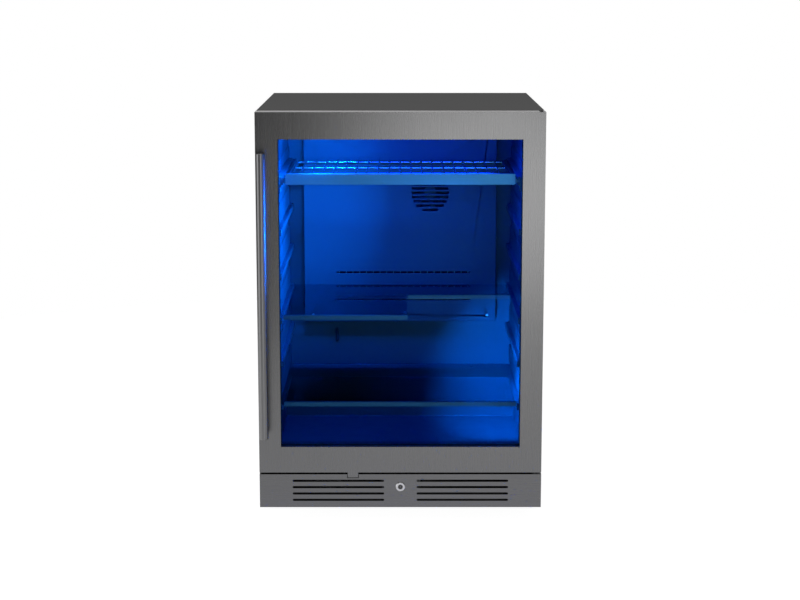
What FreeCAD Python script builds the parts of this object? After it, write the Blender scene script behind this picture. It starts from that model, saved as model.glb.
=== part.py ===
"""Undercounter refrigerator with one glass door, as a parametric FreeCAD document.

Frame: +Z up, the door faces -Y, the origin is the bottom centre of the whole object. Millimetres.
"""
import FreeCAD, Part
import math
import os
import re
import Sketcher
from FreeCAD import Rotation, Vector

doc = FreeCAD.newDocument("undercounter_refrigerator")

DIMENSIONS = {
    # whole cabinet
    "half_width": 297.5, "height": 867, "base_z": 32, "sheet": 1,
    "cabinet_front": -226.5, "cabinet_back": 318.5,
    # opening and liner
    "room_half": 264, "room_floor": 130, "room_ceiling": 828, "room_back": 272, "liner_wall": 2,
    "step_top": 222, "step_front": 130, "lip": 4,
    "ledge_first": 229.5, "ledge_pitch": 95, "ledge_count": 6, "ledge_tall": 14, "ledge_deep": 12,
    "ledge_front": -165, "pad_tall": 42, "pad_deep": 3,
    # machine space under and behind the room
    "duct_top": 97, "machine_front": 155, "machine_top": 197,
    # door
    "door_bottom": 108, "door_front": -276.5, "door_back": -230.5, "skin_depth": 38,
    "window_half": 251.5, "window_low": 163.6, "window_high": 811.4,
    "pane_half": 262, "pane_low": 153, "pane_high": 822, "pane_thick": 4, "pane_gap": 12,
    "pane_front": -273.5, "back_inset": 8,
    "seal_half": 284, "seal_low": 116, "seal_high": 846, "seal_wide": 14,
    # hinges, on one upright axis near the door's right edge
    "hinge_x": 285, "hinge_y": -250, "pin_radius": 4, "pin_play": 0.05, "hinge_plate": 3,
    "hinge_half": 11, "top_plate_z": 852, "bottom_plate_z": 104.5,
    # handle
    "handle_x": -284.4, "handle_y": -309, "handle_radius": 9.5, "handle_low": 189, "handle_high": 786,
    "post_radius": 7, "post_low": 244, "post_high": 731,
    # grille and lock
    "grille_top": 104, "grille_sheet": 1.2, "slot_long": 193.5, "slot_tall": 4.8, "slot_pitch": 13.9,
    "slot_first": 48.2, "slot_group": 131, "slot_rows": 4,
    "lock_z": 77, "lock_ring": 9.75, "barrel_radius": 8, "plug_radius": 5.5, "cam_reach": 42, "cam_half": 5,
    "tab_left": -111, "tab_right": -89.4, "tab_low": 97.2, "ear_screw_x": 286, "ear_screw_z": 53,
    # shelves and rack
    "shelf_front": -176, "shelf_back": 226, "shelf_half": 259, "glass_shelf": 5, "trim_half": 250,
    "cut_x": 15, "cut_y": 71, "mid_ledge": 2,
    "rack_half": 242, "rack_low": 707, "rack_high": 730, "wire_radius": 2,
    # machinery
    "leg_x": 262, "leg_front": -150, "leg_rear": 285, "stud_radius": 5, "foot_radius": 19,
    "compressor_x": 170, "compressor_y": 236, "compressor_radius": 66,
    "drain_x": 170, "drain_y": 250, "drain_bore": 4, "drain_tube": 6,
    "fan_y": 236, "fan_z": 108, "fan_radius": 56, "shroud_x": -104,
    "cold_fan_x": 70, "cold_fan_z": 640, "cold_fan_radius": 44, "cover_front": 232, "cover_half": 225,
    "cover_low": 335, "cover_high": 800,
}
CAM_SLOT = (-246.5, -237.5)     # front and back of the lock cam's slots in the grille and the door
# x and z of screws along Y: evaporator cover, upper hinge, lower hinge
COVER_SCREWS = ((12, 355), (-205, 350), (205, 350), (-205, 785), (205, 785))
UPPER_HINGE_SCREWS = ((261, 859), (285, 859))
LOWER_HINGE_SCREWS = ((283, 76), (283, 94))
POWER_INLET = ((-256, -228), (50, 70))     # x and z

sheet = doc.addObject("Spreadsheet::Sheet", "Dims")
for row, (word, number) in enumerate(DIMENSIONS.items(), 1):
    sheet.set(f"A{row}", word)
    sheet.set(f"B{row}", str(number))
    sheet.setAlias(f"B{row}", word)
doc.recompute()

worked = doc.addObject("Spreadsheet::Sheet", "Worked")
SUBPARTS = []
FORWARD = Rotation(Vector(1, 0, 0), 90)      # turns +Z to -Y
SIDEWAYS = Rotation(Vector(0, 1, 0), 90)     # turns +Z to +X


def size(text):
    """The number that an expression of the sheet's words stands for."""
    worked.set("A1", f"={bound(text)}")
    worked.recompute()
    return float(worked.get("A1"))


def bound(text):
    """The same expression, written for setExpression."""
    return re.sub(r"[a-z_]\w*", r"Dims.\g<0>", str(text))


def bind(item, **expressions):
    for name, text in expressions.items():
        item.setExpression(name.replace("__", "."), bound(text))
    return item


def fresh(kind, name="piece"):
    return doc.addObject(kind, name)


def place(item, x=0, y=0, z=0, turn=None):
    if turn is not None:
        item.Placement.Rotation = turn
    return bind(item, Placement__Base__x=x, Placement__Base__y=y, Placement__Base__z=z)


def box(x, y, z):
    """A block between three pairs of planes, each plane an expression of the sheet."""
    item = fresh("Part::Box")
    bind(item, Length=f"({x[1]}) - ({x[0]})", Width=f"({y[1]}) - ({y[0]})", Height=f"({z[1]}) - ({z[0]})")
    return place(item, x[0], y[0], z[0])


def round_bar(radius, length, x=0, y=0, z=0, turn=None):
    item = bind(fresh("Part::Cylinder"), Radius=radius, Height=length)
    return place(item, x, y, z, turn)


def cone(low, high, length, x=0, y=0, z=0, turn=None):
    item = bind(fresh("Part::Cone"), Radius1=low, Radius2=high, Height=length)
    return place(item, x, y, z, turn)


def fuse(*items):
    if len(items) == 1:
        return items[0]
    item = fresh("Part::MultiFuse")
    item.Shapes = list(items)
    item.Refine = True
    return item


def cut(base, *tools):
    item = fresh("Part::Cut")
    item.Base = base
    item.Tool = fuse(*tools)
    return item


def group(*items):
    """Separate solids that make one sub-part."""
    item = fresh("Part::Compound")
    item.Links = list(items)
    return item


def frame(half, z, inner_half, inner_z, y):
    """A rectangular ring in the XZ plane, between two Y planes."""
    outer = box((f"0 - ({half})", half), y, z)
    hole = box((f"0 - ({inner_half})", inner_half), (f"{y[0]} - 1", f"{y[1]} + 1"), inner_z)
    return cut(outer, hole)


def subpart(label, item):
    item.Label = label
    SUBPARTS.append(item)
    return item


def sketch_on(body, role, points, name):
    """A closed outline on one of the body's origin planes, its corners bound to the sheet."""
    sketch = body.newObject("Sketcher::SketchObject", name)
    plane = next(item for item in body.Origin.OriginFeatures if item.Role == role)
    sketch.AttachmentSupport = [(plane, "")]
    sketch.MapMode = "FlatFace"
    corners = [(size(across), size(up)) for across, up in points]
    count = len(corners)
    for index in range(count):
        start = Vector(*corners[index], 0)
        end = Vector(*corners[(index + 1) % count], 0)
        sketch.addGeometry(Part.LineSegment(start, end), False)
    for index in range(count):
        sketch.addConstraint(Sketcher.Constraint("Coincident", index, 2, (index + 1) % count, 1))
    for index, expressions in enumerate(points):
        for kind, text, value in zip(("DistanceX", "DistanceY"), expressions, corners[index]):
            number = sketch.addConstraint(Sketcher.Constraint(kind, -1, 1, index, 1, value))
            sketch.setExpression(f"Constraints[{number}]", bound(text))
    return sketch


def turned(profile, x=0, y=0, z=0, turn=None):
    """A turned piece: (radius, height) points revolved about the body's own Z axis."""
    body = fresh("PartDesign::Body", "turned")
    sketch = sketch_on(body, "XZ_Plane", profile, "profile")
    doc.recompute()
    revolution = body.newObject("PartDesign::Revolution", "revolution")
    revolution.Profile = sketch
    revolution.ReferenceAxis = (sketch, ["V_Axis"])
    revolution.Angle = 360
    body.Tip = revolution
    return place(body, x, y, z, turn)


def plate(points, thickness, role="XZ_Plane", x=0, y=0, z=0):
    """A flat piece: an outline padded by its thickness."""
    body = fresh("PartDesign::Body", "plate")
    sketch = sketch_on(body, role, points, "outline")
    doc.recompute()
    pad = body.newObject("PartDesign::Pad", "pad")
    pad.Profile = sketch
    bind(pad, Length=thickness)
    body.Tip = pad
    return place(body, x, y, z)


def countersunk(x, y, z):
    """A countersunk screw along Y whose head is flush with the plane y."""
    head = cone("2.5", "5", "3", x, f"{y} + 3", z, FORWARD)
    return fuse(head, round_bar("2.5", "12", x, f"{y} + 14", z, FORWARD))


def bent_tube(radius, points, bend):
    """A tube along straight runs joined by tangent arcs; part of a sealed pipe run."""
    corners = [Vector(*point) for point in points]
    edges, start = [], corners[0]
    for before, corner, after in zip(corners, corners[1:], corners[2:]):
        into, out = (corner - before).normalize(), (after - corner).normalize()
        half_turn = into.getAngle(out) / 2
        setback = bend * math.tan(half_turn)
        first, last = corner - into * setback, corner + out * setback
        middle = corner + (out - into).normalize() * (bend / math.cos(half_turn) - bend)
        edges.append(Part.makeLine(start, first))
        edges.append(Part.Arc(first, middle, last).toShape())
        start = last
    edges.append(Part.makeLine(start, corners[-1]))
    path = Part.Wire(edges)
    ring = Part.Wire(Part.makeCircle(radius, corners[0], corners[1] - corners[0]))
    return path.makePipeShell([ring], True, True)


def hinge_screws_at(places):
    """Screws flush with a hinge plate's face; cut away, they leave their own countersunk holes."""
    return [countersunk(x, "cabinet_front - hinge_plate", z) for x, z in places]


def drain_hole(z, length):
    """The passage for the defrost drain tube."""
    return round_bar("drain_tube", length, "drain_x", "drain_y", z)


# ---------------------------------------------------------------- cabinet shell

def make_outer_wrap():
    """One sheet over the top and both sides, folded in at the front as the seal's steel face."""
    y_back = "cabinet_back - sheet"
    shell = box(("0 - half_width", "half_width"), ("cabinet_front", y_back), ("base_z", "height"))
    inside = box(("0 - half_width + sheet", "half_width - sheet"), ("cabinet_front + sheet", "cabinet_back"),
                 ("base_z - 1", "height - sheet"))
    front = ("cabinet_front - 1", "cabinet_front + 2 * sheet")
    mouth = box(("0 - room_half - lip", "room_half + lip"), front, ("base_z - 1", "room_ceiling + lip"))
    foot = box(("0 - half_width + sheet", "half_width - sheet"), front, ("base_z - 1", "room_floor - lip"))
    subpart("outer_wrap", cut(shell, inside, mouth, foot, *hinge_screws_at(UPPER_HINGE_SCREWS)))


def make_back_panel():
    wide = ("0 - half_width", "half_width")
    subpart("back_panel", box(wide, ("cabinet_back - sheet", "cabinet_back"), (206, "height")))


def make_machine_cover():
    """Louvred steel sheet over the machine space, with the opening for the power inlet."""
    panel = box(("0 - half_width", "half_width"), ("cabinet_back - sheet", "cabinet_back"), (36, 205.5))
    through = ("cabinet_back - 3", "cabinet_back + 1")
    louvres = [box((x, x + 130), through, (z, z + 5)) for x in (-200, -50, 100) for z in range(90, 180, 15)]
    subpart("machine_cover", cut(panel, *louvres, box(POWER_INLET[0], through, POWER_INLET[1])))


def leg_places():
    return [(side, depth) for depth in ("leg_front", "leg_rear") for side in ("0 - leg_x", "leg_x")]


def make_base_pan():
    """Steel tray with a welded nut over each leg."""
    wide = ("0 - half_width + sheet", "half_width - sheet")
    long = ("cabinet_front + 2", "cabinet_back - sheet")
    tray = cut(box(wide, long, ("base_z", "base_z + 16")),
               box(("0 - half_width + 3", "half_width - 3"), ("cabinet_front + 4", "cabinet_back - 3"),
                   ("base_z + 2", "base_z + 17")))
    nuts = [round_bar("stud_radius + 4", 10, x, y, "base_z + 2") for x, y in leg_places()]
    holes = [round_bar("stud_radius + pin_play", 30, x, y, "base_z - 5") for x, y in leg_places()]
    subpart("base_pan", cut(fuse(tray, *nuts), *holes))


def make_machine_roof():
    """Z-shaped sheet under the foam: over the air duct, up, and over the machine space."""
    wide = ("0 - half_width + sheet", "half_width - sheet")
    duct = box(wide, ("cabinet_front + 2", "machine_front"), ("duct_top", "duct_top + sheet"))
    riser = box(wide, ("machine_front - sheet", "machine_front"), ("duct_top", "machine_top"))
    roof = box(wide, ("machine_front - sheet", "cabinet_back - sheet"),
               ("machine_top - sheet", "machine_top"))
    subpart("machine_roof", cut(fuse(duct, riser, roof), drain_hole("machine_top - 10", 20)))


def room(grow):
    """The cold room's space, grown outward: a tall box with a step at the back for the machinery."""
    wide = (f"0 - room_half - {grow}", f"room_half + {grow}")
    upper = box(wide, ("cabinet_front", f"room_back + {grow}"),
                (f"step_top - {grow}", f"room_ceiling + {grow}"))
    lower = box(wide, ("cabinet_front", f"step_front + {grow}"),
                (f"room_floor - {grow}", f"step_top + {grow}"))
    return fuse(upper, lower)


def make_inner_liner():
    """Moulded plastic room: ledges with raised pads above them on both side walls, and a front lip."""
    lip = box(("0 - room_half - lip", "room_half + lip"), ("cabinet_front", "cabinet_front + liner_wall"),
              ("room_floor - lip", "room_ceiling + lip"))
    inside = room("0")
    bind(inside.Shapes[0], Placement__Base__y="cabinet_front - 1", Width="room_back - cabinet_front + 1")
    bind(inside.Shapes[1], Placement__Base__y="cabinet_front - 1", Width="step_front - cabinet_front + 1")
    shell = cut(fuse(room("liner_wall"), lip), inside)
    ledges = []
    for row in range(DIMENSIONS["ledge_count"]):
        top = f"ledge_first + {row} * ledge_pitch"
        back = "step_front" if row == 0 else "room_back"
        low, high = f"{top} - ledge_tall", f"{top} + pad_tall"
        for near, step in (("0 - room_half", 1), ("room_half", -1)):
            edges = [near, f"{near} + {step} * ledge_deep"][::step]
            pads = [near, f"{near} + {step} * pad_deep"][::step]
            ledges.append(box(edges, ("ledge_front", back), (low, top)))
            ledges.append(box(pads, ("ledge_front - 20", "room_back"), (top, high)))
    subpart("inner_liner", cut(fuse(shell, *ledges), drain_hole("step_top - 10", 20)))


def make_insulation_foam():
    """Foam that fills the space between the liner, the wrap, the back panel and the machine roof."""
    wide = ("0 - half_width + sheet", "half_width - sheet")
    block = box(wide, ("cabinet_front + 2", "cabinet_back - sheet"), ("duct_top + sheet", "height - sheet"))
    machine = box(wide, ("machine_front - sheet", "cabinet_back"), ("duct_top", "machine_top"))
    drain = drain_hole("machine_top - 10", 40)
    screws = hinge_screws_at(UPPER_HINGE_SCREWS)
    subpart("insulation_foam", cut(block, room("liner_wall"), machine, drain, *screws))


def make_front_crossmember():
    """Steel plate behind the grille: two air windows, the lower hinge's screws and the lock's clearance."""
    front = ("cabinet_front", "cabinet_front + 2")
    panel = box(("0 - half_width + sheet", "half_width - sheet"), front, ("base_z", "room_floor - lip"))
    through = ("cabinet_front - 1", "cabinet_front + 3")
    windows = [box(x, through, (44, 94)) for x in ((-250, -40), (40, 250))]
    hinge_screws = hinge_screws_at(LOWER_HINGE_SCREWS)
    grille_screws = [round_bar(2, 12, f"{side} * ear_screw_x", "cabinet_front + 10", "ear_screw_z", FORWARD)
                     for side in (-1, 1)]
    subpart("front_crossmember", cut(panel, *windows, *hinge_screws, *grille_screws))


# ---------------------------------------------------------------- grille and lock

def make_toe_grille():
    """Folded sheet with two groups of slots, flush with the door; folds at the top, bottom and ends."""
    wide = ("0 - half_width", "half_width")
    inner = ("0 - half_width + grille_sheet", "half_width - grille_sheet")
    face = box(wide, ("door_front", "door_front + grille_sheet"), ("base_z", "grille_top"))
    top = box(wide, ("door_front", "door_back"), ("grille_top - grille_sheet", "grille_top"))
    bottom = box(wide, ("door_front", "cabinet_front"), ("base_z", "base_z + grille_sheet"))
    left = box((wide[0], inner[0]), ("door_front", "cabinet_front"), ("base_z", "grille_top"))
    right = box((inner[1], wide[1]), ("door_front", "cabinet_front"), ("base_z", "grille_top"))
    ears = [box(x, ("cabinet_front - grille_sheet", "cabinet_front"), ("ear_screw_z - 17", "ear_screw_z + 7"))
            for x in ((inner[0], -276), (276, inner[1]))]
    slots = []
    through = ("door_front - 1", "door_front + 3")
    for side in (-1, 1):
        for row in range(DIMENSIONS["slot_rows"]):
            z = f"slot_first + {row} * slot_pitch"
            ends = [f"{side} * slot_group + {end} * (slot_long - slot_tall) / 2" for end in (-1, 1)]
            slots.append(box(ends, through, (f"{z} - slot_tall / 2", f"{z} + slot_tall / 2")))
            slots += [round_bar("slot_tall / 2", 4, end, through[1], z, FORWARD) for end in ends]
    lock = round_bar("barrel_radius", 10, 0, "door_front + 5", "lock_z", FORWARD)
    cam_slot = box((-7, 37), CAM_SLOT, ("grille_top - 4", "grille_top + 1"))
    notch = box(("tab_left - 1.4", "tab_right + 1.4"), ("door_front - 1", "door_front + 2.7"),
                ("tab_low - 1.4", "grille_top + 1"))
    screws = [round_bar(2, 12, f"{side} * ear_screw_x", "cabinet_front + 5", "ear_screw_z", FORWARD)
              for side in (-1, 1)]
    sheet_metal = fuse(face, top, bottom, left, right, *ears)
    subpart("toe_grille", cut(sheet_metal, *slots, lock, cam_slot, notch, *screws))


def make_panel_screws():
    """Equal pan-head screws: two hold the grille's ears, five hold the evaporator cover."""
    places = [(f"{side} * ear_screw_x", "cabinet_front - grille_sheet", "ear_screw_z") for side in (-1, 1)]
    places += [(x, "cover_front", z) for x, z in COVER_SCREWS]
    screws = []
    for x, y, z in places:
        head = turned([(0, 0), (3.6, 0), (3.6, 1), (2.4, 2.2), (0, 2.2)], x, y, z, FORWARD)
        screws.append(fuse(head, round_bar(2, 9, x, f"{y} + 9", z, FORWARD)))
    subpart("panel_screws", group(*screws))


def make_lock():
    """Round key lock: a flanged barrel in the grille, the turning plug and its cam."""
    bore = "plug_radius + pin_play"
    flange = turned([(bore, 0), ("lock_ring", 0), ("lock_ring", 1.6), ("lock_ring - 1", 2.6), (bore, 2.6)],
                    0, "door_front", "lock_z", FORWARD)
    sleeve = turned([(bore, 0), ("barrel_radius", 0), ("barrel_radius", 28), (bore, 28)],
                    0, "door_front + 28", "lock_z", FORWARD)
    subpart("lock_barrel", fuse(flange, sleeve))
    plug = turned([(0, 0), ("plug_radius", 0), ("plug_radius", 36.6), (3.9, 36.6), (3.9, 32), (1.6, 32),
                   (1.6, 36.2), (0, 36.2)], 0, "door_front + 34", "lock_z", FORWARD)
    subpart("lock_plug", plug)
    arm = box((0, "cam_reach"), ("door_front + 34", "door_front + 36"),
              ("lock_z - cam_half", "lock_z + cam_half"))
    hub = round_bar("plug_radius + 2", 2, 0, "door_front + 36", "lock_z", FORWARD)
    subpart("lock_cam", fuse(arm, hub))


# ---------------------------------------------------------------- door

def hinge_notch():
    """Room in the door's top corner for the upper hinge plate, as far round as the door swings."""
    return box(("hinge_x - hinge_half - 1.5", "half_width + 1"), ("hinge_y - 18.5", "door_back + 1"),
               ("top_plate_z - 1.5", "top_plate_z + hinge_plate + 1.5"))


def cam_notch():
    """The pocket in the door's bottom edge that the lock's cam swings up into."""
    return box((-7, 32), CAM_SLOT, ("door_bottom - 1", "lock_z + cam_reach + 2.5"))


def make_door_skin():
    """Folded steel skin: front frame, four outer sides and a short return at the window."""
    skin = frame("half_width", ("door_bottom", "height"), "half_width - sheet",
                 ("door_bottom + sheet", "height - sheet"), ("door_front", "door_front + skin_depth"))
    face = frame("half_width", ("door_bottom", "height"), "window_half", ("window_low", "window_high"),
                 ("door_front", "door_front + sheet"))
    reveal = frame("window_half + sheet", ("window_low - sheet", "window_high + sheet"), "window_half",
                   ("window_low", "window_high"), ("door_front", "pane_front"))
    bush = round_bar(9, 4, "hinge_x", "hinge_y", "door_bottom - 2")
    handle_holes = [round_bar(2.5, 10, "handle_x", "door_front + 5", z, FORWARD)
                    for z in ("post_low", "post_high")]
    subpart("door_skin", cut(fuse(skin, face, reveal), hinge_notch(), cam_notch(), bush, *handle_holes))


def make_door_core():
    """Foamed plastic frame inside the skin: pocket for the glass, bores for the bushes, stepped back."""
    main = frame("half_width - sheet", ("door_bottom + sheet", "height - sheet"), "window_half",
                 ("window_low", "window_high"), ("door_front + sheet", "door_front + skin_depth"))
    back = frame("half_width - back_inset", ("door_bottom + back_inset", "height - back_inset"),
                 "window_half", ("window_low", "window_high"), ("door_front + skin_depth", "door_back"))
    pocket = box(("0 - pane_half", "pane_half"), ("door_front", "pane_front + 2 * pane_thick + pane_gap"),
                 ("pane_low", "pane_high"))
    bores = [round_bar(6, 21, "hinge_x", "hinge_y", "door_bottom + 1"),
             round_bar(6, 24, "hinge_x", "hinge_y", "top_plate_z - 24"),
             round_bar(9, 3, "hinge_x", "hinge_y", "top_plate_z - 3")]
    handle_pockets = [round_bar(4.5, 3, "handle_x", "door_front + sheet + 3", z, FORWARD)
                      for z in ("post_low", "post_high")]
    groove = frame("seal_half - 5", ("seal_low + 5", "seal_high - 5"), "seal_half - 9",
                   ("seal_low + 9", "seal_high - 9"), ("door_back - 5", "door_back"))
    subpart("door_core_frame", cut(fuse(main, back), pocket, groove, hinge_notch(), cam_notch(), *bores,
                                   *handle_pockets))


def pane(front):
    return box(("0 - pane_half", "pane_half"), (front, f"{front} + pane_thick"), ("pane_low", "pane_high"))


def make_glazing():
    """Two panes, the spacer between them and the rubber bead that seats them behind the skin."""
    subpart("glass_panes", group(pane("pane_front"), pane("pane_front + pane_thick + pane_gap")))
    spacer = frame("pane_half - 1", ("pane_low + 1", "pane_high - 1"), "pane_half - 9",
                   ("pane_low + 9", "pane_high - 9"),
                   ("pane_front + pane_thick", "pane_front + pane_thick + pane_gap"))
    subpart("glass_spacer", spacer)
    bead = frame("pane_half", ("pane_low", "pane_high"), "window_half + sheet",
                 ("window_low - sheet", "window_high + sheet"), ("door_front + sheet", "pane_front"))
    subpart("glass_seal", bead)


def make_door_gasket():
    face = frame("seal_half", ("seal_low", "seal_high"), "seal_half - seal_wide",
                 ("seal_low + seal_wide", "seal_high - seal_wide"), ("door_back", "cabinet_front"))
    dart = frame("seal_half - 5", ("seal_low + 5", "seal_high - 5"), "seal_half - 9",
                 ("seal_low + 9", "seal_high - 9"), ("door_back - 5", "door_back + 1"))
    subpart("door_gasket", fuse(face, dart))


def make_handle():
    """Round bar on two posts, each held by a screw from inside the door."""
    length = "handle_high - handle_low"
    bar = turned([(0, 0), ("handle_radius - 1.2", 0), ("handle_radius", 1.2),
                  ("handle_radius", f"{length} - 1.2"), ("handle_radius - 1.2", length), (0, length)],
                 "handle_x", "handle_y", "handle_low")
    subpart("handle_bar", bar)
    reach = "door_front - handle_y"
    posts, screws = [], []
    for z in ("post_low", "post_high"):
        post = round_bar("post_radius", reach, "handle_x", "door_front", z, FORWARD)
        inside = round_bar("handle_radius", 40, "handle_x", "handle_y", f"{z} - 20")
        thread = round_bar(2.5, 14, "handle_x", "door_front + 1", z, FORWARD)
        posts.append(cut(post, inside, thread))
        screws.append(fuse(round_bar(2.5, "13 + sheet", "handle_x", "door_front + sheet", z, FORWARD),
                           round_bar(4.5, 3, "handle_x", "door_front + sheet + 3", z, FORWARD)))
    subpart("handle_posts", group(*posts))
    subpart("handle_screws", group(*screws))


def make_door_bottom_tab():
    """Small bent tab welded under the door's lower edge."""
    across = ("tab_left", "tab_right")
    front = box(across, ("door_front", "door_front + 1.2"), ("tab_low", "door_bottom"))
    leaf = box(across, ("door_front", -256), ("door_bottom - 1.2", "door_bottom"))
    subpart("door_bottom_tab", fuse(front, leaf))


def make_hinges():
    """Two bent brackets on the cabinet, their pins, and flanged bushes in the door."""
    def leaf(z):
        arm = box(("hinge_x - hinge_half", "hinge_x + hinge_half"), ("hinge_y", "cabinet_front"),
                  (z, f"{z} + hinge_plate"))
        return [arm, round_bar("hinge_half", "hinge_plate", "hinge_x", "hinge_y", z)]

    back = ("cabinet_front - hinge_plate", "cabinet_front")
    upper = box((252, "hinge_x + hinge_half"), back, ("top_plate_z", 866))
    upper_holes = hinge_screws_at(UPPER_HINGE_SCREWS)
    upper_pin = round_bar("pin_radius", 10, "hinge_x", "hinge_y", "top_plate_z - 2")
    subpart("hinge_bracket_top", cut(fuse(*leaf("top_plate_z"), upper), *upper_holes, upper_pin))
    lower = box((270, "hinge_x + hinge_half"), back, (64, "bottom_plate_z + hinge_plate"))
    lower_holes = hinge_screws_at(LOWER_HINGE_SCREWS)
    lower_pin = round_bar("pin_radius", 10, "hinge_x", "hinge_y", "bottom_plate_z - 2")
    subpart("hinge_bracket_bottom", cut(fuse(*leaf("bottom_plate_z"), lower), *lower_holes, lower_pin))
    pins = [round_bar("pin_radius", "20 + hinge_plate", "hinge_x", "hinge_y", z)
            for z in ("top_plate_z - 20", "bottom_plate_z")]
    subpart("hinge_pins", group(*pins))
    subpart("hinge_screws", group(*hinge_screws_at(UPPER_HINGE_SCREWS + LOWER_HINGE_SCREWS)))
    bore = "pin_radius + pin_play"
    top_bush = turned([(bore, 0), (6, 0), (6, 21), (9, 21), (9, 22.5), (bore, 22.5)],
                      "hinge_x", "hinge_y", "top_plate_z - 24")
    low_bush = turned([(bore, 0), (9, 0), (9, 1.4), (6, 1.4), (6, 22.4), (bore, 22.4)],
                      "hinge_x", "hinge_y", "bottom_plate_z + hinge_plate + 0.1")
    subpart("hinge_bushes", group(top_bush, low_bush))


# ---------------------------------------------------------------- shelves and rack

def shelf_channel(x, front, z, glass):
    """Metal channel that clips over a glass shelf's front edge."""
    outer = box(x, (f"{front} - 2", f"{front} + 8"), (f"{z} - 2", f"{z} + glass_shelf + 2"))
    return cut(outer, glass)


def shelf_glass(z, points):
    return plate(points, "glass_shelf", "XY_Plane", 0, 0, z)


def make_shelves():
    """A full glass shelf, and one whose front right quarter is cut away for tall bottles."""
    left, right = "0 - shelf_half", "shelf_half"
    low = "ledge_first"
    full = [(left, "shelf_front"), (right, "shelf_front"), (right, "shelf_back"), (left, "shelf_back")]
    lower = subpart("lower_shelf_glass", shelf_glass(low, full))
    subpart("lower_shelf_trim", shelf_channel(("0 - trim_half", "trim_half"), "shelf_front", low, lower))
    mid = "ledge_first + mid_ledge * ledge_pitch"
    stepped = [(left, "shelf_front"), ("cut_x", "shelf_front"), ("cut_x", "cut_y"), (right, "cut_y"),
               (right, "shelf_back"), (left, "shelf_back")]
    upper = subpart("cutout_shelf_glass", shelf_glass(mid, stepped))
    subpart("cutout_shelf_trim", group(
        shelf_channel(("0 - trim_half", "cut_x"), "shelf_front", mid, upper),
        shelf_channel(("cut_x + 2", "trim_half"), "cut_y", mid, upper)))


def make_rack():
    """Wire rack on a pair of slides: side rails, cross bars, lengthwise wires and a folded front trim."""
    trim_wide = ("0 - rack_half", "rack_half")
    front = "shelf_front - 2"
    face = box(trim_wide, (front, "shelf_front"), ("rack_low", "rack_high"))
    upper = box(trim_wide, (front, "shelf_front + 10"), ("rack_high - 1.5", "rack_high"))
    lower = box(trim_wide, (front, "shelf_front + 10"), ("rack_low", "rack_low + 1.5"))
    subpart("rack_front_trim", fuse(face, upper, lower))
    rails = [box(x, ("shelf_front", 222), ("rack_low + 4", "rack_low + 10"))
             for x in (("0 - rack_half + 2", "0 - rack_half + 8"), ("rack_half - 8", "rack_half - 2"))]
    bars = [round_bar(3, "2 * rack_half - 10", "0 - rack_half + 5", y, "rack_low + 7", SIDEWAYS)
            for y in (-160, -35, 90, 215)]
    wires = [round_bar("wire_radius", 396, x, 220, "rack_low + 11.5", FORWARD) for x in range(-216, 217, 24)]
    subpart("rack_wires", fuse(*rails, *bars, *wires))
    slides, tracks = [], []
    for side in (-1, 1):
        def across(near, far):
            edges = [f"{side} * ({near})", f"{side} * ({far})"]
            return edges[::side]
        web = box(across("rack_half - 2", "rack_half + 4"), ("ledge_front", 222),
                  ("rack_low + 1", "rack_low + 13"))
        tongue = box(across("rack_half + 4", "rack_half + 11.4"), ("ledge_front", 222),
                     ("rack_low + 4.5", "rack_low + 8.5"))
        slides.append(fuse(web, tongue))
        track = box(across("rack_half + 6", "room_half - pad_deep"), ("ledge_front", "shelf_back"),
                    ("ledge_first + 5 * ledge_pitch", "rack_low + 14.5"))
        groove = box(across("rack_half + 5", "rack_half + 11.5"), ("ledge_front - 1", "shelf_back + 1"),
                     ("rack_low + 4", "rack_low + 9"))
        tracks.append(cut(track, groove))
    subpart("rack_slides", group(*slides))
    subpart("rack_tracks", group(*tracks))


# ---------------------------------------------------------------- cold side and lights

def make_evaporator():
    """Finned coil and fan under a shallow louvred cover on the rear wall."""
    fins = [box((x, x + 1), (244, 268), (365, 565)) for x in range(-192, 193, 16)]
    tubes = [round_bar(4, 392, -196, 256, z, SIDEWAYS) for z in range(385, 561, 35)]
    subpart("evaporator_coil", fuse(*fins, *tubes))
    outside = box(("0 - cover_half", "cover_half"), ("cover_front", "room_back"), ("cover_low", "cover_high"))
    hollow = box(("0 - cover_half + 2", "cover_half - 2"), ("cover_front + 2", "room_back + 1"),
                 ("cover_low + 2", "cover_high - 2"))
    through = ("cover_front - 1", "cover_front + 3")
    louvres = [box((-150, 165), through, (z, z + 4)) for z in (385, 417, 450)]
    for row in range(-4, 5):
        rise = row * 10
        reach = math.sqrt(DIMENSIONS["cold_fan_radius"] ** 2 - rise ** 2)
        louvres.append(box((f"cold_fan_x - {reach:.2f}", f"cold_fan_x + {reach:.2f}"), through,
                           (f"cold_fan_z + {rise} - 3", f"cold_fan_z + {rise} + 3")))
    holes = [round_bar(2, 8, x, "cover_front + 5", z, FORWARD) for x, z in COVER_SCREWS]
    subpart("evaporator_cover", cut(outside, hollow, *louvres, *holes))
    motor = cut(round_bar(20, 14, "cold_fan_x", "room_back", "cold_fan_z", FORWARD),
                round_bar("2 + pin_play", 12, "cold_fan_x", "room_back - 4", "cold_fan_z", FORWARD))
    subpart("evaporator_fan_motor", motor)
    probe = turned([(0, 0), (2, 0), (4, 3), (4, 30), (0, 34)], -150, "room_back - 4", 280)
    subpart("temperature_probe", probe)


def make_lights_and_controls():
    """A light bar on the ceiling and one up each side, all behind the door frame; the control panel."""
    ceiling = box((-200, 200), (-208, -190), ("room_ceiling - 6", "room_ceiling"))
    sides = [box(x, (-214, -204), (160, 800)) for x in ((-264, -258), (258, 264))]
    subpart("light_bars", group(ceiling, *sides))
    outline = [(-184, 814), (-124, 806), (-124, "room_ceiling"), (-184, "room_ceiling")]
    subpart("control_panel", plate(outline, 220, "YZ_Plane", -110))


# ---------------------------------------------------------------- machine space

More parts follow.
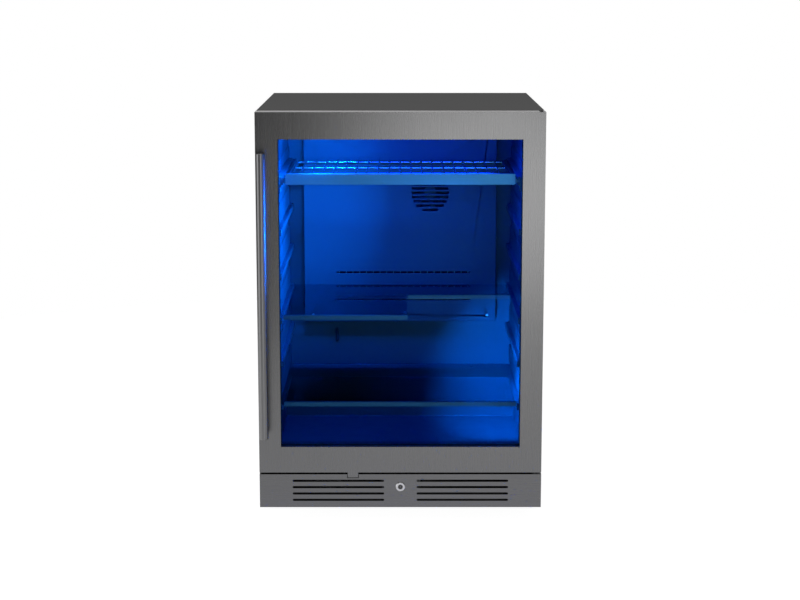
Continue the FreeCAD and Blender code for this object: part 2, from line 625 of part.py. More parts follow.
def make_compressor():
    """Sealed compressor on a foot plate, four rubber grommets, the relay cover and the drain pan above."""
    dome = [("compressor_radius - 4", 92), ("compressor_radius - 16", 106), (28, 114), (0, 116)]
    shell = turned([(0, 0), ("compressor_radius", 0), ("compressor_radius", 74), *dome],
                   "compressor_x", "compressor_y", "base_z + 18")
    corners = [(f"compressor_x + {x}", f"compressor_y + {y}") for x in (-62, 62) for y in (-50, 50)]
    foot = box(("compressor_x - 75", "compressor_x + 75"), ("compressor_y - 60", "compressor_y + 60"),
               ("base_z + 15", "base_z + 18"))
    holes = [round_bar(5, 10, x, y, "base_z + 10") for x, y in corners]
    body = subpart("compressor", cut(fuse(shell, foot), *holes))
    grommets = [turned([(0, 0), (9, 0), (9, 13), (5, 13), (5, 18), (0, 18)], x, y, "base_z + 2")
                for x, y in corners]
    subpart("compressor_grommets", group(*grommets))
    subpart("relay_cover", cut(box((84, 124), (214, 258), (72, 122)), body))
    tray = ((110, 230), (190, 290), ("base_z + 134", "base_z + 154"))
    hollow = box((112, 228), (192, 288), ("base_z + 136", "base_z + 155"))
    subpart("drain_pan", cut(box(*tray), hollow))
    bore = round_bar("drain_bore", 50, "drain_x", "drain_y", 174)
    subpart("drain_tube", cut(round_bar("drain_tube", 46, "drain_x", "drain_y", 176), bore))


def make_condenser():
    """Finned coil, the shroud and the motor of the fan that blows from the coil to the compressor."""
    fins = [box((-225, -115), (y, y + 1), (52, 182)) for y in range(170, 295, 8)]
    ends = [box((-225, -115), (y, y + 2), ("base_z + 2", 184)) for y in (165, 296)]
    tubes = [round_bar(4.5, 133, x, 298, z, FORWARD) for x in (-200, -170, -140) for z in (70, 100, 130, 160)]
    subpart("condenser_coil", fuse(*fins, *ends, *tubes))
    wall = box(("shroud_x - 2", "shroud_x"), (165, 290), ("base_z + 2", 190))
    window = round_bar("fan_radius + 3", 10, "shroud_x - 6", "fan_y", "fan_z", SIDEWAYS)
    subpart("condenser_fan_shroud", cut(wall, window))
    can = round_bar(26, 50, "shroud_x + 24", "fan_y", "fan_z", SIDEWAYS)
    stand = box(("shroud_x + 34", "shroud_x + 64"), ("fan_y - 5", "fan_y + 5"), ("base_z + 2", "fan_z - 20"))
    bore = round_bar("3 + pin_play", 14, "shroud_x + 22", "fan_y", "fan_z", SIDEWAYS)
    subpart("condenser_fan_motor", cut(fuse(can, stand), bore))


def fan(label, hub, reach, depth, blades, shaft, x, y, z, turn):
    """Hub, shaft and pitched blades; the fan turns about its own Z axis."""
    pitch = Rotation(Vector(1, 0, 0), 28)
    core = turned([(0, 0), (hub, 0), (hub, depth), (0, depth)])
    spindle = round_bar(shaft[0], shaft[1], 0, 0, f"0 - {shaft[1]}")
    vanes = []
    for number in range(blades):
        vane = bind(fresh("Part::Box"), Length=reach - hub + 2, Width=24, Height=2)
        spoke = Rotation(Vector(0, 0, 1), 360 / blades * number)
        tilt = FreeCAD.Placement(Vector(0, 0, depth / 2), spoke * pitch)
        vane.Placement = tilt.multiply(FreeCAD.Placement(Vector(hub - 2, -12, -1), Rotation()))
        vanes.append(vane)
    return subpart(label, place(fuse(core, spindle, *vanes), x, y, z, turn))


def make_fans():
    fan("condenser_fan", 16, DIMENSIONS["fan_radius"], 14, 5, (3, 14),
        "shroud_x + 20", "fan_y", "fan_z", Rotation(Vector(0, 1, 0), -90))
    fan("evaporator_fan", 14, DIMENSIONS["cold_fan_radius"], 12, 7, (2, 12),
        "cold_fan_x", "room_back - 18", "cold_fan_z", FORWARD)


def make_pipes():
    """Discharge, liquid and suction pipes and the filter drier; the runs inside the foam are left out."""
    compressor = next(item for item in SUBPARTS if item.Label == "compressor")
    doc.recompute()
    discharge = bent_tube(3, [(130, 236, 140), (50, 236, 140), (50, 309, 140), (-140, 309, 130),
                              (-140, 298.1, 130)], 9)
    liquid = bent_tube(3, [(-170, 298.1, 70), (-170, 309, 70), (90, 303, 70), (90, 303, 93.9)], 9)
    suction = bent_tube(4, [(200, 236, 130), (200, 306, 130), (200, 306, 196)], 12)
    runs = [discharge.cut(compressor.Shape), liquid, suction.cut(compressor.Shape)]
    lines = subpart("refrigerant_lines", fresh("Part::Feature"))
    lines.Shape = Part.makeCompound(runs)
    shell = [(0, 0), (3, 0), (3, 8), (9, 16), (9, 86), (3, 94), (3, 102), (0, 102)]
    subpart("filter_drier", turned(shell, 90, 303, "machine_top - 103"))


def make_power_inlet():
    """Recessed three-pin inlet in the machine cover."""
    wide, tall = POWER_INLET
    shell = cut(box(wide, ("cabinet_back - 21", "cabinet_back"), tall),
                box((-252, -232), ("cabinet_back - 15", "cabinet_back + 1"), (53, 67)))
    pins = [box((x - 1, x + 1), ("cabinet_back - 16", "cabinet_back - 4"), (z, z + 4))
            for x, z in ((-247, 56), (-242, 61), (-237, 56))]
    subpart("power_inlet", fuse(shell, *pins))


def make_air_divider():
    subpart("air_divider", box((-1, 1), ("cabinet_front + 4", "machine_front"), ("base_z + 2", "duct_top")))


def make_legs():
    names = ("leg_front_left", "leg_front_right", "leg_rear_left", "leg_rear_right")
    for label, (x, y) in zip(names, leg_places()):
        leg = turned([(0, 0), ("foot_radius", 0), ("foot_radius", 5), ("foot_radius - 6", 10), (8, 14),
                      (8, "base_z"), ("stud_radius", "base_z"), ("stud_radius", 58), (0, 58)], x, y)
        subpart(label, leg)


def write_parts():
    """Check every object and every sub-part, then write one STEP file for each."""
    doc.recompute()
    for item in doc.Objects:
        if "Invalid" in item.State or "Error" in item.State:
            raise RuntimeError(f"{item.Name} ({item.Label}) failed: {item.State}")
    os.makedirs("parts", exist_ok=True)
    for item in SUBPARTS:
        shape = item.Shape
        if shape.isNull() or not shape.isValid() or not shape.Solids:
            raise RuntimeError(f"{item.Label} has no valid solid")
        shape.exportStep(f"parts/{item.Label}.step")
        print(f"{item.Label}: {len(shape.Solids)} solids, {shape.Volume / 1000:.1f} cm3")
    print(len(SUBPARTS), "sub-parts")


make_outer_wrap()
make_back_panel()
make_machine_cover()
make_base_pan()
make_machine_roof()
make_inner_liner()
make_insulation_foam()
make_front_crossmember()
make_toe_grille()
make_panel_screws()
make_lock()
make_door_skin()
make_door_core()
make_glazing()
make_door_gasket()
make_handle()
make_door_bottom_tab()
make_hinges()
make_shelves()
make_rack()
make_evaporator()
make_lights_and_controls()
make_compressor()
make_condenser()
make_fans()
make_pipes()
make_power_inlet()
make_air_divider()
make_legs()
write_parts()
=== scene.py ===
"""Looks of the undercounter refrigerator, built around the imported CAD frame.

Metres, +Z up, door towards -Y.
"""
import math

import bmesh
import bpy
from mathutils import Matrix, Vector


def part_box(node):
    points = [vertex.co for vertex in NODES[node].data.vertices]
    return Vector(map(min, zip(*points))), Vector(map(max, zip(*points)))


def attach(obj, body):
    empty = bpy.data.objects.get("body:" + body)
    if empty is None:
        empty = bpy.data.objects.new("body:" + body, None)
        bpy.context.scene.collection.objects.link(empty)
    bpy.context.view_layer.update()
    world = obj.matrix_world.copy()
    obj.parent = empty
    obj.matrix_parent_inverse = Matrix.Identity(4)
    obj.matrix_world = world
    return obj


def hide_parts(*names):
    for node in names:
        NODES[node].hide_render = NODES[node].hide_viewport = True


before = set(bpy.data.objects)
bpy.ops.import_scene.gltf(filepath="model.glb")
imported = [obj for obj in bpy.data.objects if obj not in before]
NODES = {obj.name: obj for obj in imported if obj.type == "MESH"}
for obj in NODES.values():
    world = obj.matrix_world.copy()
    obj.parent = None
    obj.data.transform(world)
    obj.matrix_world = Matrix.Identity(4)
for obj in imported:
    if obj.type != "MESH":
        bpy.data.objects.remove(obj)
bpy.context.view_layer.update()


# ---------------------------------------------------------------- material helpers

class Look:
    """A Principled material and short ways to wire textures into it, placed in the frame's metres."""

    def __init__(self, name, colour, roughness, metallic=0.0, **inputs):
        self.material = bpy.data.materials.new(name)
        self.material.use_nodes = True
        self.tree = self.material.node_tree
        self.shader = self.tree.nodes["Principled BSDF"]
        self.shader.inputs["Base Color"].default_value = (*colour, 1)
        self.shader.inputs["Roughness"].default_value = roughness
        self.shader.inputs["Metallic"].default_value = metallic
        for key, value in inputs.items():
            self.shader.inputs[key.replace("_", " ")].default_value = value
        self.colour = colour
        self.roughness = roughness
        self.place = self.tree.nodes.new("ShaderNodeTexCoord").outputs["Object"]

    def node(self, kind, **values):
        node = self.tree.nodes.new(kind)
        for key, value in values.items():
            if key in node.inputs.keys():
                node.inputs[key].default_value = value
            else:
                setattr(node, key, value)
        return node

    def link(self, source, target):
        self.tree.links.new(source, target)

    def stretched(self, stretch):
        mapping = self.node("ShaderNodeMapping")
        mapping.inputs["Scale"].default_value = stretch
        self.link(self.place, mapping.inputs["Vector"])
        return mapping.outputs["Vector"]

    def noise(self, scale, detail=3.0, stretch=(1, 1, 1), roughness=0.5):
        noise = self.node("ShaderNodeTexNoise", Scale=scale, Detail=detail, Roughness=roughness)
        self.link(self.stretched(stretch), noise.inputs["Vector"])
        return noise.outputs["Fac"]

    def mapped(self, factor, low, high):
        span = self.node("ShaderNodeMapRange")
        span.inputs["To Min"].default_value = low
        span.inputs["To Max"].default_value = high
        self.link(factor, span.inputs["Value"])
        return span.outputs["Result"]

    def vary_colour(self, factor, amount):
        """Mixes between a darker and a lighter version of the base colour."""
        mix = self.node("ShaderNodeMix", data_type="RGBA")
        low = [c * (1 - amount) for c in self.colour]
        high = [min(1.0, c * (1 + amount)) for c in self.colour]
        for socket in mix.inputs:
            if socket.type == "RGBA" and socket.name == "A":
                socket.default_value = (*low, 1)
            if socket.type == "RGBA" and socket.name == "B":
                socket.default_value = (*high, 1)
        self.link(factor, mix.inputs["Factor"])
        colour = next(socket for socket in mix.outputs if socket.type == "RGBA")
        self.link(colour, self.shader.inputs["Base Color"])

    def vary_roughness(self, factor, spread):
        rough = self.mapped(factor, max(0.02, self.roughness - spread), min(1, self.roughness + spread))
        self.link(rough, self.shader.inputs["Roughness"])

    def bump(self, height, distance, strength):
        bump = self.node("ShaderNodeBump", Distance=distance, Strength=strength)
        self.link(height, bump.inputs["Height"])
        self.link(bump.outputs["Normal"], self.shader.inputs["Normal"])


def brushed(name, colour, roughness, along):
    """Brushed steel: streaks run along one axis; faint smudges break up the gloss."""
    stretch = [900, 900, 900]
    stretch["xyz".index(along)] = 9
    smudge_share = 0.35
    look = Look(name, colour, roughness, metallic=1.0)
    streaks = look.noise(scale=1.0, detail=4.0, stretch=stretch, roughness=0.6)
    smudges = look.noise(scale=5.0)
    look.vary_colour(streaks, amount=0.10)
    both = look.node("ShaderNodeMix", data_type="FLOAT")
    both.inputs["Factor"].default_value = smudge_share
    look.link(streaks, both.inputs["A"])
    look.link(smudges, both.inputs["B"])
    look.vary_roughness(both.outputs["Result"], spread=0.07)
    look.bump(streaks, distance=0.00002, strength=0.35)
    return look.material


def moulded(name, colour, roughness, grain=2600, depth=0.00005):
    """Moulded plastic with a fine spark-eroded grain and slow colour drift."""
    look = Look(name, colour, roughness)
    look.vary_colour(look.noise(scale=9.0), amount=0.08)
    look.vary_roughness(look.noise(scale=30.0), spread=0.06)
    look.bump(look.noise(scale=grain, detail=2.0), distance=depth, strength=0.5)
    return look.material


def painted(name, colour, roughness):
    """Sprayed paint with a soft orange peel."""
    look = Look(name, colour, roughness, Coat_Weight=0.25, Coat_Roughness=0.2)
    look.vary_colour(look.noise(scale=7.0, detail=4.0), amount=0.10)
    look.vary_roughness(look.noise(scale=24.0), spread=0.05)
    look.bump(look.noise(scale=420.0, detail=2.0), distance=0.00012, strength=0.25)
    return look.material


def plated(name, colour, roughness):
    """Plated or drawn metal with faint drawing marks."""
    look = Look(name, colour, roughness, metallic=1.0)
    look.vary_colour(look.noise(scale=14.0), amount=0.07)
    look.vary_roughness(look.noise(scale=160.0, detail=4.0), spread=0.05)
    look.bump(look.noise(scale=700.0), distance=0.00002, strength=0.3)
    return look.material


STRAIGHT_REFLECTION = 0.034


def clear_glass(name, tint, gloss):
    """Thin coated glass. What is behind shows, tinted at each face.

    The coating takes away what clear glass reflects straight on, so only slanting light is reflected, and
    only where it enters the glass.
    """
    material = bpy.data.materials.new(name)
    material.use_nodes = True
    tree = material.node_tree
    tree.nodes.clear()
    output = tree.nodes.new("ShaderNodeOutputMaterial")
    through = tree.nodes.new("ShaderNodeBsdfTransparent")
    through.inputs["Color"].default_value = (*tint, 1)
    shine = tree.nodes.new("ShaderNodeBsdfGlossy")
    place = tree.nodes.new("ShaderNodeTexCoord")
    haze = tree.nodes.new("ShaderNodeTexNoise")
    haze.inputs["Scale"].default_value = 6.0
    tree.links.new(place.outputs["Object"], haze.inputs["Vector"])
    span = tree.nodes.new("ShaderNodeMapRange")
    span.inputs["To Min"].default_value = 0.01
    span.inputs["To Max"].default_value = 0.06
    tree.links.new(haze.outputs["Fac"], span.inputs["Value"])
    tree.links.new(span.outputs["Result"], shine.inputs["Roughness"])
    side = tree.nodes.new("ShaderNodeNewGeometry")
    entering = tree.nodes.new("ShaderNodeMapRange")
    entering.inputs["To Min"].default_value = gloss
    entering.inputs["To Max"].default_value = 0
    tree.links.new(side.outputs["Backfacing"], entering.inputs["Value"])
    fresnel = tree.nodes.new("ShaderNodeFresnel")
    fresnel.inputs["IOR"].default_value = 1.45
    slant = tree.nodes.new("ShaderNodeMath")
    slant.operation = "SUBTRACT"
    slant.use_clamp = True
    slant.inputs[1].default_value = STRAIGHT_REFLECTION
    tree.links.new(fresnel.outputs["Fac"], slant.inputs[0])
    weight = tree.nodes.new("ShaderNodeMath")
    weight.operation = "MULTIPLY"
    tree.links.new(entering.outputs["Result"], weight.inputs[1])
    tree.links.new(slant.outputs["Value"], weight.inputs[0])
    mix = tree.nodes.new("ShaderNodeMixShader")
    tree.links.new(weight.outputs["Value"], mix.inputs["Fac"])
    tree.links.new(through.outputs["BSDF"], mix.inputs[1])
    tree.links.new(shine.outputs["BSDF"], mix.inputs[2])
    tree.links.new(mix.outputs["Shader"], output.inputs["Surface"])
    return material


def glowing(name, colour, strength):
    """A lit diffuser: bright over its chips, a little dimmer between them."""
    look = Look(name, colour, roughness=0.4)
    pulse = look.noise(scale=70.0, detail=1.0)
    look.shader.inputs["Emission Color"].default_value = (*colour, 1)
    look.link(look.mapped(pulse, strength * 0.8, strength * 1.2), look.shader.inputs["Emission Strength"])
    return look.material


# ---------------------------------------------------------------- materials

DARK = (0.135, 0.135, 0.136)
MATERIALS = {
    "door_steel": brushed("door_steel", DARK, 0.27, "z"),
    "top_steel": brushed("top_steel", (0.178, 0.178, 0.179), 0.34, "x"),
    # The grille's steel is darker than the door's; part of that darkening is painted shade for the dimmer
    # reflection low on the grille.
    "grille_steel": brushed("grille_steel", (0.122, 0.122, 0.123), 0.27, "x"),
    "handle_steel": brushed("handle_steel", (0.155, 0.155, 0.158), 0.34, "z"),
    "trim_steel": brushed("trim_steel", (0.33, 0.34, 0.36), 0.36, "x"),
    "shelf_steel": brushed("shelf_steel", (0.13, 0.135, 0.145), 0.38, "x"),
    "zinc": plated("zinc", (0.42, 0.43, 0.45), 0.42),
    "screw": plated("screw", (0.56, 0.56, 0.58), 0.30),
    "lock_chrome": plated("lock_chrome", (0.46, 0.46, 0.47), 0.30),
    "plug_steel": plated("plug_steel", (0.12, 0.12, 0.123), 0.38),
    "wire_chrome": plated("wire_chrome", (0.52, 0.53, 0.56), 0.22),
    "liner": moulded("liner", (0.07, 0.075, 0.085), 0.38, grain=350, depth=0.00001),
    "cover": moulded("cover", (0.06, 0.065, 0.075), 0.42, grain=420, depth=0.00001),
    "black_plastic": moulded("black_plastic", (0.028, 0.028, 0.030), 0.42),
    "door_plastic": moulded("door_plastic", (0.022, 0.022, 0.024), 0.38),
    "rubber": moulded("rubber", (0.022, 0.022, 0.023), 0.62, grain=1500, depth=0.00008),
    "foot_plastic": moulded("foot_plastic", (0.030, 0.030, 0.032), 0.55),
    "foam": moulded("foam", (0.78, 0.70, 0.46), 0.85, grain=300, depth=0.0006),
    "black_paint": painted("black_paint", (0.018, 0.018, 0.020), 0.32),
    "fins": plated("fins", (0.74, 0.75, 0.77), 0.34),
    "copper": plated("copper", (0.76, 0.40, 0.24), 0.28),
    "door_glass": clear_glass("door_glass", (0.70, 0.87, 0.97), 0.45),
    "shelf_glass": clear_glass("shelf_glass", (0.80, 0.90, 0.93), 0.4),
    "blue_light": glowing("blue_light", (0.05, 0.28, 1.0), 3.0),
    "display": glowing("display", (0.75, 0.88, 1.0), 2.5),
    "gloss_black": moulded("gloss_black", (0.010, 0.010, 0.011), 0.08, grain=500, depth=0.00001),
    # Pale colour laid along the door's top edge: a painted highlight for the light that edge catches.
    "painted_highlight": moulded("painted_highlight", (0.88, 0.88, 0.885), 0.40, grain=900, depth=0.00002),
    # Near-black laid in the lock's key groove: painted shade for the shadow deep in the groove.
    "painted_groove_shade": moulded("painted_groove_shade", (0.012, 0.012, 0.013), 0.6),
}

USES = {
    "door_steel": ("door_skin", "door_bottom_tab"),
    "top_steel": ("outer_wrap",),
    "grille_steel": ("toe_grille",),
    "handle_steel": ("handle_bar", "handle_posts"),
    "trim_steel": ("rack_front_trim",),
    "shelf_steel": ("lower_shelf_trim", "cutout_shelf_trim", "rack_slides"),
    "zinc": ("back_panel", "machine_cover", "machine_roof", "hinge_bracket_top",
             "hinge_bracket_bottom"),
    "screw": ("panel_screws", "hinge_screws", "handle_screws", "hinge_pins"),
    "lock_chrome": ("lock_barrel",),
    "plug_steel": ("lock_plug", "lock_cam"),
    "wire_chrome": ("rack_wires",),
    "liner": ("inner_liner", "rack_tracks"),
    "cover": ("evaporator_cover",),
    "black_plastic": ("hinge_bushes", "evaporator_fan_motor", "evaporator_fan", "condenser_fan",
                      "control_panel", "temperature_probe", "relay_cover", "drain_pan", "drain_tube",
                      "power_inlet", "air_divider", "glass_spacer"),
    "door_plastic": ("door_core_frame",),
    "rubber": ("door_gasket", "glass_seal", "compressor_grommets"),
    "foot_plastic": ("leg_front_left", "leg_front_right", "leg_rear_left", "leg_rear_right"),
    "foam": ("insulation_foam",),
    "black_paint": ("compressor", "condenser_fan_motor", "condenser_fan_shroud", "front_crossmember",
                    "base_pan"),
    "fins": ("evaporator_coil", "condenser_coil"),
    "copper": ("refrigerant_lines", "filter_drier"),
    "door_glass": ("glass_panes",),
    "shelf_glass": ("lower_shelf_glass", "cutout_shelf_glass"),
    "blue_light": ("light_bars",),
}


def finish_nodes():
    """Gives every CAD node its material."""
    for look, names in USES.items():
        for name in names:
            slots = NODES[name].data.materials
            slots.clear()
            slots.append(MATERIALS[look])
    bare = set(NODES) - {name for names in USES.values() for name in names}
    if bare:
        raise RuntimeError(f"nodes with no material: {sorted(bare)}")


def soften(name, width):
    """Rounds a CAD node's sharp edges a little with modifiers, so they catch the light."""
    node = NODES[name]
    weld = node.modifiers.new("weld", "WELD")
    weld.merge_threshold = 0.00002
    bevel = node.modifiers.new("bevel", "BEVEL")
    bevel.width = width
    bevel.segments = 2
    bevel.limit_method = "ANGLE"
    bevel.angle_limit = math.radians(40)
    bevel.harden_normals = True


EDGES = {"lower_shelf_glass": 0.0008, "cutout_shelf_glass": 0.0008, "rack_front_trim": 0.0004,
         "door_core_frame": 0.0008, "inner_liner": 0.0015, "evaporator_cover": 0.0010,
         "control_panel": 0.0010, "light_bars": 0.0010}
finish_nodes()
for name, width in EDGES.items():
    soften(name, width)


# ---------------------------------------------------------------- detail pieces

def shown(name, shape, look, body, slot, *replaced):
    """Makes a bmesh a shown piece that moves with a body."""
    bmesh.ops.recalc_face_normals(shape, faces=shape.faces[:])
    mesh = bpy.data.meshes.new(name)
    shape.to_mesh(mesh)
    shape.free()
    mesh.materials.append(MATERIALS[look])
    piece = bpy.data.objects.new(name, mesh)
    bpy.context.scene.collection.objects.link(piece)
    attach(piece, body)
    if replaced:
        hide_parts(*replaced)


def add_block(shape, x, y, z, edge=0.0):
    """A block between three pairs of planes, with its edges rounded where an edge radius is given."""
    made = bmesh.ops.create_cube(shape, size=1)["verts"]
    span = [b - a for a, b in (x, y, z)]
    middle = [(a + b) / 2 for a, b in (x, y, z)]
    bmesh.ops.transform(shape, matrix=Matrix.Translation(middle) @ Matrix.Diagonal((*span, 1)), verts=made)
    if edge:
        rims = {rim for vert in made for rim in vert.link_edges}
        bmesh.ops.bevel(shape, geom=list(rims), offset=edge, segments=2, profile=0.5, affect="EDGES")


def add_disc(shape, middle, radius, thick):
    """A short cylinder along Y."""
    made = bmesh.ops.create_cone(shape, cap_ends=True, segments=32, radius1=radius, radius2=radius,
                                 depth=thick)["verts"]
    turn = Matrix.Rotation(math.pi / 2, 4, "X")
    bmesh.ops.transform(shape, matrix=Matrix.Translation(middle) @ turn, verts=made)


def join_rings(shape, rings):
    """Closes a loop of equal rings of points with faces, each ring to the next."""
    for here, there in zip(rings, rings[1:] + rings[:1]):
        count = len(here)
        for point in range(count):
            after = (point + 1) % count
            shape.faces.new((here[point], there[point], there[after], here[after]))


def add_border(shape, half, z, outline):
    """Sweeps a closed outline of (inset, y) points round an upright rectangle, with mitred corners."""
    rings = []
    for across, up in ((-1, 0), (1, 0), (1, 1), (-1, 1)):
        rings.append([shape.verts.new((across * (half - inset), y, z[1] - inset if up else z[0] + inset))
                      for inset, y in outline])
    join_rings(shape, rings)


def make_door_gasket():
    """Ribbed magnetic seal between the door and the cabinet."""
    low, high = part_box("door_gasket")
    door_side = high.y - 0.004
    cabinet_side = high.y - 0.0001
    groove = cabinet_side - 0.0006
    wide = 0.014
    fold = [(0.0006, door_side), (0.0, door_side + 0.0009), (0.0009, door_side + 0.0018),
            (0.0, door_side + 0.0028), (0.0010, cabinet_side)]
    magnet = [(0.0042, cabinet_side), (0.0046, groove), (0.0050, cabinet_side),
              (0.0090, cabinet_side), (0.0094, groove), (0.0098, cabinet_side)]
    inner = [(wide - inset, y) for inset, y in reversed(fold)]
    shape = bmesh.new()
    add_border(shape, high.x, (low.z, high.z), fold + magnet + inner)
    shown("door_gasket_ribbed", shape, "rubber", "door", "black_rubber", "door_gasket")


def make_door_top_highlight():
    """Pale strip along the door's top edge, a painted highlight for the light that edge catches, with a
    dark plug near the hinge pin.
    """
    low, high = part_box("door_skin")
    sunk, proud, rim, side_inset, gap = 0.0002, 0.0005, 0.0002, 0.0008, 0.0002
    front = low.y + 0.0008
    back = high.y - 0.0004
    plug_x = high.x - 0.0085
    plug_half = 0.0042
    shape = bmesh.new()
    for x in ((low.x + side_inset, plug_x - plug_half), (plug_x + plug_half, high.x - side_inset)):
        add_block(shape, x, (front, back), (high.z - sunk, high.z + proud), rim)
    shown("door_top_painted_highlight", shape, "painted_highlight", "door", "black_steel")
    shape = bmesh.new()
    add_block(shape, (plug_x - plug_half + gap, plug_x + plug_half - gap), (front + 0.004, back - 0.002),
              (high.z - sunk, high.z + 0.0004), rim)
    shown("hinge_plug", shape, "door_plastic", "door", "black_plastic")


SEGMENTS = {"top": ((0, 1), (1, 1)), "middle": ((0, 0.5), (1, 0.5)), "bottom": ((0, 0), (1, 0)),
            "upper_left": ((0, 0.5), (0, 1)), "upper_right": ((1, 0.5), (1, 1)),
            "lower_left": ((0, 0), (0, 0.5)), "lower_right": ((1, 0), (1, 0.5))}
DIGITS = {3: ("top", "middle", "bottom", "upper_right", "lower_right"),
          8: tuple(SEGMENTS)}


def add_digit(shape, number, start, middle, face):
    """A seven-segment digit of small bars, standing just proud of a face."""
    wide, tall, stroke = 0.0042, 0.0076, 0.0005
    for word in DIGITS[number]:
        (x0, z0), (x1, z1) = SEGMENTS[word]
        x = sorted((start + x0 * wide, start + x1 * wide))
        z = sorted((middle + (z0 - 0.5) * tall, middle + (z1 - 0.5) * tall))
        add_block(shape, (x[0] - stroke, x[1] + stroke), (face - 0.0010, face - 0.0006),
                  (z[0] - stroke, z[1] + stroke))


def make_control_panel():
    """Touch panel under the ceiling: a glossy face with a two-digit display and round keys."""
    low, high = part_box("control_panel")
    face, proud = low.y, 0.0008
    shape = bmesh.new()
    add_block(shape, (low.x + 0.004, high.x - 0.004), (face - proud, face),
              (high.z - 0.0125, high.z - 0.0015), 0.0005)
    shown("control_face", shape, "gloss_black", "cabinet", "black_plastic")
    shape = bmesh.new()
    middle = high.z - 0.007
    for key_x in (-0.085, -0.060, 0.060, 0.085):
        add_disc(shape, (key_x, face - proud, middle), radius=0.0026, thick=0.0004)
    for number, start in ((3, -0.0065), (8, 0.0015)):
        add_digit(shape, number, start, middle, face)
    shown("control_marks", shape, "display", "cabinet", "blue_light")


def make_key_groove_shade():
    """Dark ring in the groove round the lock's centre pin, where a round key goes: painted shade for the
    shadow deep in the groove.
    """
    low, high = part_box("lock_plug")
    height = (low.z + high.z) / 2
    inner, outer = 0.0016, 0.0039
    front, back = low.y + 0.0006, low.y + 0.0010
    sides = 40
    shape = bmesh.new()
    rings = []
    for step in range(sides):
        turn = 2 * math.pi * step / sides
        rings.append([shape.verts.new((math.cos(turn) * radius, y, height + math.sin(turn) * radius))
                      for radius, y in ((inner, front), (outer, front), (outer, back), (inner, back))])
    join_rings(shape, rings)
    shown("key_groove_painted_shade", shape, "painted_groove_shade", "lock", "black_plastic")


def make_details():
    make_key_groove_shade()
    make_door_gasket()
    make_door_top_highlight()
    make_control_panel()


# ---------------------------------------------------------------- studio

def area_light(name, place, target, size, power, colour=(1, 1, 1), spread=180):
    """A rectangular light at a place, turned to a target. Its spread is in degrees."""
    data = bpy.data.lights.new(name, "AREA")
    data.shape = "RECTANGLE"
    data.size, data.size_y = size
    data.energy = power
    data.color = colour
    data.spread = math.radians(spread)
    light = bpy.data.objects.new(name, data)
    bpy.context.scene.collection.objects.link(light)
    light.location = place
    light.rotation_euler = (Vector(target) - Vector(place)).to_track_quat("-Z", "Y").to_euler()
    light.visible_camera = False


def make_world():
    """White behind everything, with grey surroundings to reflect: dim at the left, paler to the right."""
    world = bpy.data.worlds.new("studio")
    bpy.context.scene.world = world
    world.use_nodes = True
    tree = world.node_tree
    tree.nodes.clear()
    output = tree.nodes.new("ShaderNodeOutputWorld")
    seen = tree.nodes.new("ShaderNodeBackground")
    seen.inputs["Color"].default_value = (1, 1, 1, 1)
    around = tree.nodes.new("ShaderNodeBackground")
    direction = tree.nodes.new("ShaderNodeTexCoord")
    split = tree.nodes.new("ShaderNodeSeparateXYZ")
    span = tree.nodes.new("ShaderNodeMapRange")
    span.inputs["From Min"].default_value = -1
    span.inputs["To Min"].default_value = 0.12
    span.inputs["To Max"].default_value = 0.30
    tree.links.new(direction.outputs["Generated"], split.inputs["Vector"])
    tree.links.new(split.outputs["X"], span.inputs["Value"])
    tree.links.new(span.outputs["Result"], around.inputs["Strength"])
    ray = tree.nodes.new("ShaderNodeLightPath")
    mix = tree.nodes.new("ShaderNodeMixShader")
    tree.links.new(ray.outputs["Is Camera Ray"], mix.inputs["Fac"])
    tree.links.new(around.outputs["Background"], mix.inputs[1])
    tree.links.new(seen.outputs["Background"], mix.inputs[2])
    tree.links.new(mix.outputs["Shader"], output.inputs["Surface"])


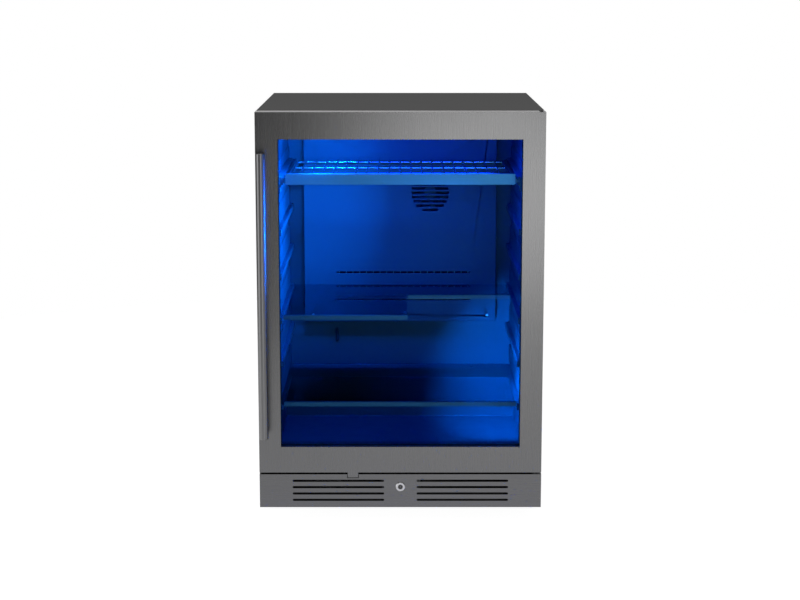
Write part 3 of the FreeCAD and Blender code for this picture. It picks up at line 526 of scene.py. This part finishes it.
def make_floor():
    """A round pale floor that runs out into the white surroundings."""
    radius, sides = 2.4, 96
    shape = bmesh.new()
    bmesh.ops.create_circle(shape, cap_ends=True, segments=sides, radius=radius)
    mesh = bpy.data.meshes.new("floor")
    shape.to_mesh(mesh)
    shape.free()
    floor = bpy.data.objects.new("floor", mesh)
    bpy.context.scene.collection.objects.link(floor)
    pale = Look("floor_paint", (0.3, 0.3, 0.3), 0.7, Emission_Color=(1, 1, 1, 1), Emission_Strength=0.95)
    pale.vary_colour(pale.noise(scale=1.5), amount=0.01)
    mesh.materials.append(pale.material)


def make_lights():
    """One soft light in front, one at the left and one overhead."""
    area_light("main", (0.34, -2.6, 0.46), target=(0.24, -0.27, 0.50), size=(0.86, 0.80), power=7.2)
    area_light("left", (-2.4, -0.95, 0.75), target=(-0.28, -0.3, 0.45), size=(1.7, 1.6), power=20)
    area_light("top", (-0.3, 0.2, 3.0), target=(0, 0, 0), size=(2.4, 2.4), power=18)


def make_inner_lights():
    """Blue light like that of the bars, strongest at the upper left and the lower right.

    blue_left and blue_right are named after the walls that they light, so blue_left shines from the right.
    """
    deep, pale = (0.0, 0.06, 1.0), (0.0, 0.24, 1.0)
    low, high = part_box("light_bars")
    middle = (low.y + high.y) / 2
    area_light("blue_ceiling", (-0.15, middle, high.z - 0.008), target=(-0.26, 0.03, 0.60),
               size=(0.18, 0.012), power=5.5, colour=pale, spread=120)
    area_light("blue_left", (high.x - 0.030, middle, 0.57), target=(low.x, -0.02, 0.62),
               size=(0.010, 0.16), power=7.5, colour=pale, spread=80)
    area_light("blue_right", (high.x - 0.12, middle, 0.33), target=(high.x, 0.02, 0.22),
               size=(0.010, 0.10), power=2.4, colour=pale, spread=80)
    area_light("blue_room", (0, -0.10, high.z - 0.03), target=(0, 0.05, 0),
               size=(0.40, 0.10), power=5.5, colour=deep)


def make_camera():
    """Almost straight on, from above the cabinet's top, looking down at its middle."""
    place = (-0.0045, -3.967, 1.149)
    pitch_down, turn_to_right = 0.1798, 0.001
    data = bpy.data.cameras.new("camera")
    data.sensor_width = 36
    data.lens = 81.34
    data.clip_end = 60
    camera = bpy.data.objects.new("camera", data)
    bpy.context.scene.collection.objects.link(camera)
    camera.location = place
    camera.rotation_euler = (math.pi / 2 - pitch_down, 0, -turn_to_right)
    bpy.context.scene.camera = camera


bpy.context.scene.view_settings.view_transform = "Standard"
bpy.context.scene.view_settings.look = "None"
make_details()
make_world()
make_floor()
make_lights()
make_inner_lights()
make_camera()
